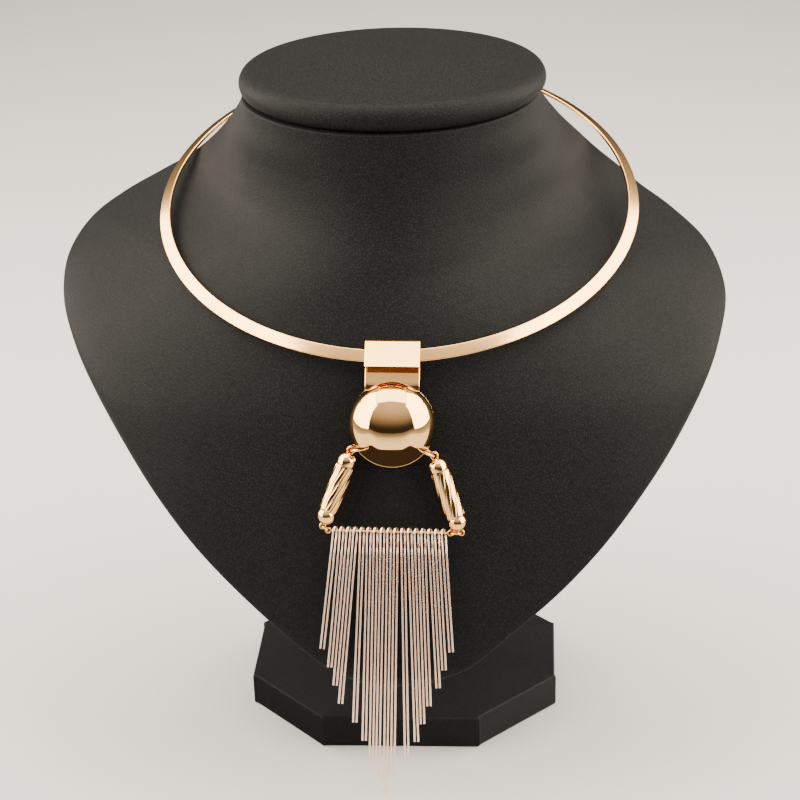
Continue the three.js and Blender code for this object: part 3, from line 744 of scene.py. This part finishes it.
class NECKLACE_OT_base_plate(Operator):
    """Octagonal plate: each corner is a small arc about its own centre, and the rows of the skin
    shrink those arcs to round the upper and lower edges."""

    bl_idname = "necklace.base_plate"
    bl_label = "Base plate"

    def execute(self, context):
        sizes = context.scene.necklace_bust
        w, d, c = sizes.plate_half_width, sizes.plate_half_depth, sizes.plate_corner
        corners = np.array([
            (w, c - d), (w, d - c), (w - c, d), (c - w, d),
            (-w, d - c), (-w, c - d), (c - w, -d), (w - c, -d)])
        # The radius of the eight corners and that of the upper and lower edges.
        arc, edge = 1.3, 0.9
        steps = 6
        facing = np.radians(np.arange(8) * 45.0)
        turn = facing[:, None] + np.radians(np.linspace(0, 45, steps))
        inset = corners - arc * np.stack([
            np.cos(facing + math.pi / 8), np.sin(facing + math.pi / 8)], -1) / math.cos(math.pi / 8)
        outward = np.stack([np.cos(turn), np.sin(turn)], -1)
        round_over = np.linspace(0, math.pi / 2, 6)
        reach = arc - edge + edge * np.concatenate([np.sin(round_over), np.cos(round_over)])
        height = np.concatenate([
            edge - edge * np.cos(round_over), sizes.plate_height - edge + edge * np.sin(round_over)])
        outline = inset[None, :, None] + reach[:, None, None, None] * outward[None]
        outline = outline.reshape(len(reach), -1, 2)
        level = np.broadcast_to(height[:, None, None], outline.shape[:2] + (1,))
        grid = np.concatenate([outline, level], -1)
        halved = np.array([0.5, 0.5, 1.0])
        grid = np.concatenate([grid[:1] * halved, grid, grid[-1:] * halved])
        skin = leatherette_finish("leatherette_board", grain=0.6, depth=0.03, gloss=0.42)
        piece = bare_object("covered_plate", closed_skin(grid), skin, sharp=70)
        declare(piece, LEATHER_SLOT, "base_plate")
        return {"FINISHED"}


class NECKLACE_OT_stand_post(Operator):
    """Oval post: an ellipse with a narrow swell down its back for the skin's lapped seam, cut off
    along the slope of the chest's underside."""

    bl_idname = "necklace.stand_post"
    bl_label = "Stand post"

    def execute(self, context):
        sizes = context.scene.necklace_bust
        low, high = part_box("stand_post")
        foot, top = low.z / MM, high.z / MM
        middle = (low.y + high.y) / 2 / MM
        angle = np.arange(128) * 2 * math.pi / 128
        skin_margin, lap_height, lap_width = 0.4, 0.35, 0.035
        lap = lap_height * np.exp(-((angle - math.pi / 2) / lap_width) ** 2)
        x = (sizes.post_half_width - skin_margin) * np.cos(angle)
        y = (sizes.post_half_depth - skin_margin + lap) * np.sin(angle)
        front_top = self.front_height()
        slope = (top - front_top) / (2 * sizes.post_half_depth)
        share = np.concatenate([[0], np.linspace(0, 1, 24), [1]])[:, None]
        ends = np.where((np.arange(len(share)) % (len(share) - 1)) == 0, 0.97, 1.0)[:, None]
        ceiling = front_top + slope * (y + sizes.post_half_depth)
        z = foot + (ceiling - foot) * share
        grid = np.stack([x * ends, y * ends + middle, z], -1)
        skin = leatherette_finish("leatherette_board", grain=0.6, depth=0.03, gloss=0.42)
        piece = bare_object("covered_post", closed_skin(grid), skin, sharp=60)
        declare(piece, LEATHER_SLOT, "stand_post")
        return {"FINISHED"}

    def front_height(self):
        """Height of the post's front edge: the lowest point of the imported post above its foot."""
        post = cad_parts["stand_post"].data
        points = np.empty(len(post.vertices) * 3)
        post.vertices.foreach_get("co", points)
        height = points[2::3] / MM
        well_above_foot = 20
        return height[height > well_above_foot].min()


# ---- collar ----


def band_corner(sizes):
    """The band's top outer corner, its way down the face and its way in, in the ring's section."""
    down = np.array([math.sin(sizes.cone), -math.cos(sizes.cone)])
    inward = np.array([-math.cos(sizes.cone), -math.sin(sizes.cone)])
    return np.array([sizes.radius, 0.0]), down, inward


def at_collar(points, sizes):
    """From the collar's own level frame to its tilted place round the neck."""
    return turn_x(points, sizes.tilt) + np.array([sizes.centre_x, sizes.centre_y, sizes.centre_z])


class NECKLACE_OT_collar(Operator):
    """Flat coned band carried round a circle, with softened edges and a slightly crowned face, and
    a plain flat sleeve over its two ends."""

    bl_idname = "necklace.collar"
    bl_label = "Collar"

    def execute(self, context):
        sizes = context.scene.necklace_collar
        gold = rose_gold_finish("rose_gold_band", gloss=0.17)
        corner, down, inward = band_corner(sizes)
        outline = rounded_rectangle(sizes.height, sizes.thickness, 0.2, 5)
        crown_height = 0.05
        crown = crown_height * (1 - (2 * outline[:, 0] / sizes.height) ** 2) * (outline[:, 1] < 0)
        along = outline[:, 0] + sizes.height / 2
        depth = outline[:, 1] + sizes.thickness / 2 - crown
        section = corner + along[:, None] * down + depth[:, None] * inward
        gap = math.asin(sizes.opening / 2 / sizes.radius)
        angle = np.linspace(math.pi / 2 + gap, math.pi * 2.5 - gap, 720)[:, None]
        x, y = section[:, 0] * np.cos(angle), section[:, 0] * np.sin(angle)
        grid = np.stack([x, y, np.broadcast_to(section[:, 1], x.shape)], -1)
        piece = bare_object("gold_collar", closed_skin(at_collar(grid, sizes)), gold, sharp=50)
        declare(piece, GOLD_SLOT, "collar")
        self.sleeve(sizes, gold)
        return {"FINISHED"}

    def sleeve(self, sizes, gold):
        """A rectangular tube: outer skin, rounded lips and inner skin in one closed grid."""
        corner, down, inward = band_corner(sizes)
        middle = corner + down * sizes.height / 2 + inward * sizes.thickness / 2
        sag = sizes.radius - math.hypot(sizes.radius, sizes.sleeve_length / 2)
        side_gap = 0.4
        play = 2 * side_gap - sag
        slot = (sizes.thickness + play, sizes.height + play)
        wall, corner_radius = 0.6, 0.55
        lip = np.radians(np.linspace(0, 180, 7))
        grow = wall / 2 * np.cos(lip)
        reach = sizes.sleeve_length / 2 - wall / 2 + wall / 2 * np.sin(lip)
        rows = []
        for end in (1, -1):
            order = slice(None) if end > 0 else slice(None, None, -1)
            for extra, x in zip(grow[order], reach[order]):
                width, height = (side + wall + 2 * extra for side in slot)
                outline = rounded_rectangle(width, height, corner_radius + 0.6 * extra, 5)
                rows.append(np.column_stack([np.full(len(outline), end * x), outline]))
        grid = turn_x(np.array(rows), sizes.cone) + np.array([0, middle[0] + sag / 2, middle[1]])
        skin = closed_skin(at_collar(grid, sizes), wrap_rows=True)
        piece = bare_object("gold_sleeve", skin, gold, sharp=50)
        declare(piece, GOLD_SLOT, "collar_clasp")


# ---- pendant ----


def strap_line(pendant, collar):
    """The strap's mid line, as rows of (out, up) in the pendant's frame: a flat flap in front of the
    band, a round crest over its top edge, and a straight leg down behind it to the disc."""
    corner, down, _ = band_corner(collar)
    front = np.array([[0, -corner[0], corner[1]], [0, *(corner + collar.height * down) * (-1, 1)]])
    place = np.array([0, collar.centre_y - pendant.depth, collar.centre_z - pendant.height])
    top, bottom = turn_x(turn_x(front, collar.tilt) + place, pendant.lean)[:, 1:] * (-1, 1)
    tilt, overhang, rise, bend = math.radians(8), 5.25, 1.2, 1.4
    play, flat, landing_up, end = 0.1, 1.5, 10.3, -6.0
    slope = math.atan2(*(top - bottom)[::-1]) + tilt
    along = np.array([math.cos(slope), math.sin(slope)])
    out = np.array([along[1], -along[0]])
    touch = top + out * (pendant.sheet / 2 + GAP + play)
    centre = touch + along * rise - out * bend
    turn = np.linspace(slope - math.pi / 2, math.radians(170), 9)[1:, None]
    crest = centre + bend * np.hstack([np.cos(turn), np.sin(turn)])
    landing = np.array([-pendant.sheet / 2, landing_up])
    straight = landing - np.array([[0, flat], [0, landing_up - end]])
    leg = crest[-1] + (landing - crest[-1]) * np.array([[0.15], [0.85]])
    flap = touch + along * np.array([[-overhang], [flat - overhang], [0.0], [rise]])
    return centripetal(np.vstack([flap, crest, leg, landing, straight]), 8)


def on_jump_ring(pendant, sign, reach):
    """The point of a jump ring's plane that lies reach outwards from its middle; the ring's highest
    point is just below the dome's mouth."""
    drop, margin = RING_DROP[sign], 0.04
    mouth = pendant.dome_mouth - GAP - pendant.ring_wire / 2 - margin
    return np.array([
        sign * (RING_ACROSS[sign] + reach * math.cos(drop)), -RING_OUT,
        mouth - (pendant.ring_radius + reach) * math.sin(drop)])


class NECKLACE_OT_bail_strap(Operator):
    """Strap folded over the collar, swept along its side view, fused with the round disc behind
    the dome, which has a hole at each side for the jump rings."""

    bl_idname = "necklace.bail_strap"
    bl_label = "Bail strap"

    def execute(self, context):
        pendant, collar = context.scene.necklace_pendant, context.scene.necklace_collar
        gold = rose_gold_finish("rose_gold_sheet")
        line = strap_line(pendant, collar)
        path = np.column_stack([np.zeros(len(line)), line * (-1, 1)])
        section = rounded_rectangle(pendant.strap_width, pendant.sheet, 0.28, 5)
        strip = sweep(path, section, (1, 0, 0))
        strap = bare_object("gold_strap", closed_skin(at_pendant(strip, pendant)), gold)
        # The disc stands a hair proud of the strip, so that no two faces coincide.
        lip, proud = 0.12, 0.02
        radius, sheet = pendant.dome_radius, pendant.sheet
        profile = np.vstack([
            [[radius * 0.5, -proud], [radius - 1.2 * lip, -proud]],
            arc_profile(lip, -90, 0, 5, (radius - lip, lip - proud)),
            arc_profile(lip, 0, 90, 5, (radius - lip, sheet + proud - lip)),
            [[radius - 1.2 * lip, sheet + proud], [radius * 0.5, sheet + proud]]])
        disc = turn_x(lathe(profile, 160), -math.pi / 2)
        disc_piece = bare_object("disc", closed_skin(at_pendant(disc, pendant)), gold)
        combine(strap, disc_piece, "UNION")
        for name, sign in SIDES:
            # A hole is centred where its ring passes three quarters of the way through the sheet.
            sink, hole_radius = RING_OUT + 0.75 * sheet, 0.9
            place = on_jump_ring(pendant, sign, -math.sqrt(pendant.ring_radius ** 2 - sink ** 2))
            hole = turn_x(lathe([(hole_radius, -2.0), (hole_radius, 2.0)], 40), -math.pi / 2)
            hole += np.array([place[0], sheet / 2, place[2]])
            tool = bare_object(f"hole_{name}", closed_skin(at_pendant(hole, pendant)), gold)
            combine(strap, tool, "DIFFERENCE")
        declare(strap, GOLD_SLOT, "bail_strap")
        return {"FINISHED"}


class NECKLACE_OT_dome(Operator):
    """Thin half dome, open below: level half ellipses from the mouth up to a pole, an outer and an
    inner skin joined by a rounded lip, whose edge waves a little at the mouth."""

    bl_idname = "necklace.dome"
    bl_label = "Dome"

    def execute(self, context):
        pendant = context.scene.necklace_pendant
        gold = rose_gold_finish("rose_gold_dome", gloss=0.05, scratches=0.3)
        radius, wall = pendant.dome_radius, pendant.dome_wall
        columns = 161
        turn = np.linspace(0, math.pi, columns)
        # The lip lifts in one soft swell on each side of the mouth's middle.
        wave_height, wave_place, wave_width = 0.9, 5.6, 1.5
        across = np.abs(np.cos(turn)) * radius
        wave = wave_height * np.exp(-((across - wave_place) / wave_width) ** 2)
        climb = np.linspace(0, 1, 90)[:, None]
        outer = self.shell(radius, wave, climb, turn, pendant)
        inner = self.shell(radius - wall, wave, climb, turn, pendant)
        lip_turn = np.radians(np.linspace(0, 180, 9))[1:-1, None, None]
        middle = (outer[0] + inner[0]) / 2
        half = (outer[0] - inner[0]) / 2
        lip = middle + half * np.cos(lip_turn) - np.array([0, 0, wall / 2]) * np.sin(lip_turn)
        profile = np.concatenate([outer[::-1], lip, inner])
        count = len(profile)
        points = profile.reshape(-1, 3)
        row, column = np.meshgrid(np.arange(count - 1), np.arange(columns - 1), indexing="ij")
        base = row * columns + column
        faces = np.stack([base, base + 1, base + 1 + columns, base + columns], -1)
        faces = faces.reshape(-1, 4).tolist()
        pair = np.arange(count // 2)
        mirror = count - 1 - pair
        # Strips between the outer and the inner skin close the edges along the disc.
        for edge, flip in ((0, False), (columns - 1, True)):
            a, b = pair[:-1] * columns + edge, pair[1:] * columns + edge
            c, d = mirror[1:] * columns + edge, mirror[:-1] * columns + edge
            strip = np.stack([a, b, c, d], -1)
            faces += (strip if flip else strip[:, ::-1]).tolist()
            faces.append(((count // 2 + np.array([-1, 0, 1])) * columns + edge).tolist())
        piece = bare_object("gold_dome", (at_pendant(points, pendant), faces), gold, sharp=50)
        self.weld(piece)
        declare(piece, GOLD_SLOT, "dome")
        return {"FINISHED"}

    def shell(self, radius, wave, climb, turn, pendant):
        """Half ellipses at heights that run from the mouth to the pole by equal angles."""
        mouth = pendant.dome_mouth + pendant.dome_wall / 2
        start = math.asin(mouth / radius)
        rise = start + (math.pi / 2 - start) * climb
        height = radius * np.sin(rise) + wave * (1 - climb) ** 3
        reach = radius * np.cos(rise)
        across, out = reach * np.cos(turn), GAP + pendant.dome_bulge * reach * np.sin(turn)
        return np.stack([across, -out, np.broadcast_to(height, across.shape)], -1)

    def weld(self, piece):
        """Merges the points that meet at each pole."""
        mesh = bmesh.new()
        mesh.from_mesh(piece.data)
        bmesh.ops.remove_doubles(mesh, verts=mesh.verts, dist=1e-7)
        bmesh.ops.dissolve_degenerate(mesh, edges=mesh.edges, dist=1e-7)
        bmesh.ops.recalc_face_normals(mesh, faces=mesh.faces)
        mesh.to_mesh(piece.data)
        mesh.free()


class NECKLACE_OT_tubes(Operator):
    """Jump rings, and the two hanging tubes, each with a domed cap, a twisted fluted body and a
    ball end; both ends carry a fused wire eye."""

    bl_idname = "necklace.tubes"
    bl_label = "Jump rings and tubes"

    def execute(self, context):
        pendant = context.scene.necklace_pendant
        gold = rose_gold_finish("rose_gold_tube", gloss=0.1)
        cast = rose_gold_finish("rose_gold_ring", gloss=0.12)
        for name, sign in SIDES:
            ring = turn_y(torus(pendant.ring_radius, pendant.ring_wire), sign * RING_DROP[sign])
            ring = at_pendant(ring + on_jump_ring(pendant, sign, 0.0), pendant)
            piece = bare_object(f"gold_jump_ring_{name}", closed_skin(ring, True), cast)
            declare(piece, GOLD_SLOT, f"jump_ring_{name}")
            self.tube(pendant, name, sign, gold)
        return {"FINISHED"}

    def tube(self, pendant, name, sign, gold):
        """The three parts of one tube, hung at its jump ring and leaning outwards."""
        radius, cap, body, ball = (
            pendant.tube_radius, pendant.tube_cap, pendant.tube_body, pendant.tube_ball)

        def hung(grid):
            return at_pendant(tube_place(pendant, sign, grid), pendant)

        rim = 0.12
        cap_profile = np.vstack([
            [[radius * 0.5, -cap]], arc_profile(rim, -90, 0, 4, (radius - rim, -cap + rim)),
            arc_profile(radius, 0, 89.5, 40, (0, -radius))])
        eye = turn_x(torus(*CAP_EYE, 48, 14), math.pi / 2) + cap_eye_height() * UP
        piece = bare_object(f"gold_tube_cap_{name}", closed_skin(hung(lathe(cap_profile, 96))), gold)
        combine(piece, bare_object("eye", closed_skin(hung(eye), True), gold), "UNION")
        declare(piece, GOLD_SLOT, f"tube_cap_{name}")

        piece = bare_object(f"gold_tube_body_{name}", closed_skin(hung(self.fluted(pendant))), gold)
        declare(piece, GOLD_SLOT, f"tube_body_{name}")

        neck = ball - radius
        start = math.degrees(math.asin(neck / radius))
        ball_profile = np.vstack([
            arc_profile(radius, -89.5, start, 48, (0, -neck)), [[radius * 0.5, 0]]])
        ball_profile[:, 1] -= cap + body
        eye = turn_x(torus(*SMALL_EYE, 40, 12), math.pi / 2) + ball_eye_height(pendant) * UP
        piece = bare_object(f"gold_tube_ball_{name}", closed_skin(hung(lathe(ball_profile, 96))), gold)
        combine(piece, bare_object("eye", closed_skin(hung(eye), True), gold), "UNION")
        declare(piece, GOLD_SLOT, f"tube_ball_{name}")

    def fluted(self, pendant):
        """Radius dips by a sharpened cosine at each flute, the section turns as it goes down, and
        the flutes run out at both ends, where the radius drops a little."""
        joint, depth, turns = 0.15, 0.1, 0.22
        end_length, end_drop = 0.35, 0.08
        count = pendant.flutes * 24
        angle = np.arange(count) * 2 * math.pi / count
        dip = np.clip(np.cos(angle * pendant.flutes), 0, 1) ** 3
        share = np.linspace(0, 1, 60)[:, None]
        top = -pendant.tube_cap - joint
        length = pendant.tube_body - 2 * joint
        settle = np.minimum(1, np.minimum(share, 1 - share) * length / end_length)
        reach = pendant.tube_radius - depth * dip * settle ** 0.5 - end_drop * (1 - settle)
        spin = angle - 2 * math.pi * turns * share
        height = np.broadcast_to(top - length * share, reach.shape)
        return np.stack([reach * np.cos(spin), reach * np.sin(spin), height], -1)


def cap_eye_height():
    """Height of the cap's eye above the tube's top."""
    radius, wire = CAP_EYE
    return radius - wire / 2


def ball_eye_height(pendant):
    """Height of the ball's eye from the tube's top; it hangs below the ball's end."""
    radius, wire = SMALL_EYE
    return wire / 2 - radius - 0.1 - pendant.tube_cap - pendant.tube_body - pendant.tube_ball


def tube_place(pendant, sign, grid):
    """Turns a tube part outwards and hangs it by its cap's eye from the jump ring."""
    lean = TUBE_LEAN[sign]
    down = np.array([sign * math.sin(lean), 0, -math.cos(lean)])
    end = on_jump_ring(pendant, sign, pendant.ring_radius)
    return turn_y(grid, -sign * lean) + end + down * cap_eye_height()


# ---- fringe ----


class NECKLACE_OT_hanger(Operator):
    """Straight wire with a round eye at each end, and the rings that join it to the tubes."""

    bl_idname = "necklace.hanger"
    bl_label = "Hanger wire"

    def execute(self, context):
        pendant, fringe = context.scene.necklace_pendant, context.scene.necklace_fringe
        gold = rose_gold_finish("rose_gold_wire", gloss=0.13)
        length = fringe.hanger_reach - SMALL_EYE[0]
        bar = np.column_stack([np.linspace(-length, length, 40), np.zeros(40), np.zeros(40)])
        rod = sweep(bar, circle(fringe.hanger_wire / 2, 20), (0, 0, 1))

        def placed(grid):
            return at_pendant(turn_y(grid, HANGER_DROP) + HANGER_PLACE, pendant)

        piece = bare_object("gold_hanger_wire", closed_skin(placed(rod)), gold)
        for side in (-1, 1):
            eye = turn_x(torus(*SMALL_EYE, 40, 12), math.pi / 2)
            eye += np.array([side * fringe.hanger_reach, 0, 0])
            combine(piece, bare_object("eye", closed_skin(placed(eye), True), gold), "UNION")
        declare(piece, GOLD_SLOT, "hanger_wire")
        for name, sign in SIDES:
            hook = turn_y(np.array([sign * fringe.hanger_reach, 0, 0]), HANGER_DROP) + HANGER_PLACE
            hung = tube_place(pendant, sign, ball_eye_height(pendant) * UP)
            across = hook - hung
            ring = torus(np.linalg.norm(across) / 2, LOWER_RING_WIRE, 56, 14)
            ring = turn_y(ring, math.atan2(-across[2], across[0])) + (hook + hung) / 2
            ring = closed_skin(at_pendant(ring, pendant), True)
            piece = bare_object(f"gold_lower_ring_{name}", ring, gold)
            declare(piece, GOLD_SLOT, f"lower_ring_{name}")
        return {"FINISHED"}


class NECKLACE_OT_hairpins(Operator):
    """Long wire hairpins: each path goes up one leg, forward over the hanger and down the other
    leg behind it, through points measured from the hanger."""

    bl_idname = "necklace.hairpins"
    bl_label = "Hairpin fringe"

    def execute(self, context):
        pendant, fringe = context.scene.necklace_pendant, context.scene.necklace_fringe
        gold = rose_gold_finish("rose_gold_drawn_wire", gloss=0.22, pale=0.9)
        middle = (len(HAIRPIN_SWING) - 1) / 2
        for i, swing in enumerate(HAIRPIN_SWING):
            overall = fringe.longest - fringe.step * abs(i - middle)
            path = self.path(overall - HAIRPIN_BEND - fringe.wire / 2)
            grid = sweep(path, circle(fringe.wire / 2, 12), (1, 0, 0))
            grid = turn_y(grid, -math.radians(swing) - HANGER_DROP)
            grid = grid + np.array([(i - middle) * fringe.pitch, 0, 0])
            grid = turn_y(grid, HANGER_DROP) + HANGER_PLACE
            number = f"{i + 1:02d}"
            piece = bare_object(f"gold_hairpin_{number}", closed_skin(at_pendant(grid, pendant)), gold)
            declare(piece, GOLD_SLOT, f"hairpin_{number}")
        return {"FINISHED"}

    def path(self, length):
        """Half of the wire from its cut end to the top of the bend, and its mirror image."""
        side, front, slot, bend = 0.45, 0.85, 5.5, HAIRPIN_BEND
        half = np.array([
            (side, 0, -length), (side, 0, -length + 4), (side, 0, -slot - 4), (side, 0, -slot),
            (side, front * 0.62, -slot * 0.5), (side, front, -bend * 0.8),
            (side * 0.92, front, bend * 0.1), (side * 0.6, front * 0.7, bend * 0.75)])
        leading = half * np.array([-1, -1, 1])
        knots = np.vstack([leading, [[0, 0, bend]], half[::-1]])
        return centripetal(knots, 6)


# ---- panel and registration ----

PIECE_OPERATORS = (
    NECKLACE_OT_bust_body, NECKLACE_OT_neck_cap, NECKLACE_OT_base_plate, NECKLACE_OT_stand_post,
    NECKLACE_OT_collar, NECKLACE_OT_bail_strap, NECKLACE_OT_dome, NECKLACE_OT_tubes,
    NECKLACE_OT_hanger, NECKLACE_OT_hairpins,
)


class NECKLACE_PT_panel(Panel):
    """Lists the steps that build the necklace and its bust."""

    bl_label = "Bib necklace"
    bl_idname = "NECKLACE_PT_panel"
    bl_space_type = "VIEW_3D"
    bl_region_type = "UI"
    bl_category = "Necklace"

    def draw(self, context):
        column = self.layout.column(align=True)
        column.operator(NECKLACE_OT_stage.bl_idname)
        for operator in PIECE_OPERATORS:
            column.operator(operator.bl_idname)
        for group in PROPERTY_GROUPS:
            settings = getattr(context.scene, group)
            box = self.layout.box()
            for name in settings.bl_rna.properties.keys():
                if name not in ("rna_type", "name"):
                    box.prop(settings, name)


PROPERTY_GROUPS = {
    "necklace_bust": BustSizes,
    "necklace_collar": CollarSizes,
    "necklace_pendant": PendantSizes,
    "necklace_fringe": FringeSizes,
    "necklace_colours": FinishColours,
    "necklace_stage": StageSettings,
}
CLASSES = (*PROPERTY_GROUPS.values(), NECKLACE_OT_stage, *PIECE_OPERATORS, NECKLACE_PT_panel)


def register():
    """Registers the classes and hangs the settings on the scene."""
    for cls in CLASSES:
        bpy.utils.register_class(cls)
    for name, group in PROPERTY_GROUPS.items():
        setattr(bpy.types.Scene, name, PointerProperty(type=group))


def unregister():
    """Takes the settings off the scene and unregisters the classes."""
    for name in PROPERTY_GROUPS:
        delattr(bpy.types.Scene, name)
    for cls in reversed(CLASSES):
        bpy.utils.unregister_class(cls)


def main():
    """Builds the stage and every piece."""
    register()
    bpy.ops.necklace.stage()
    bpy.ops.necklace.bust_body()
    bpy.ops.necklace.neck_cap()
    bpy.ops.necklace.base_plate()
    bpy.ops.necklace.stand_post()
    bpy.ops.necklace.collar()
    bpy.ops.necklace.bail_strap()
    bpy.ops.necklace.dome()
    bpy.ops.necklace.tubes()
    bpy.ops.necklace.hanger()
    bpy.ops.necklace.hairpins()


if __name__ == "__main__":
    main()
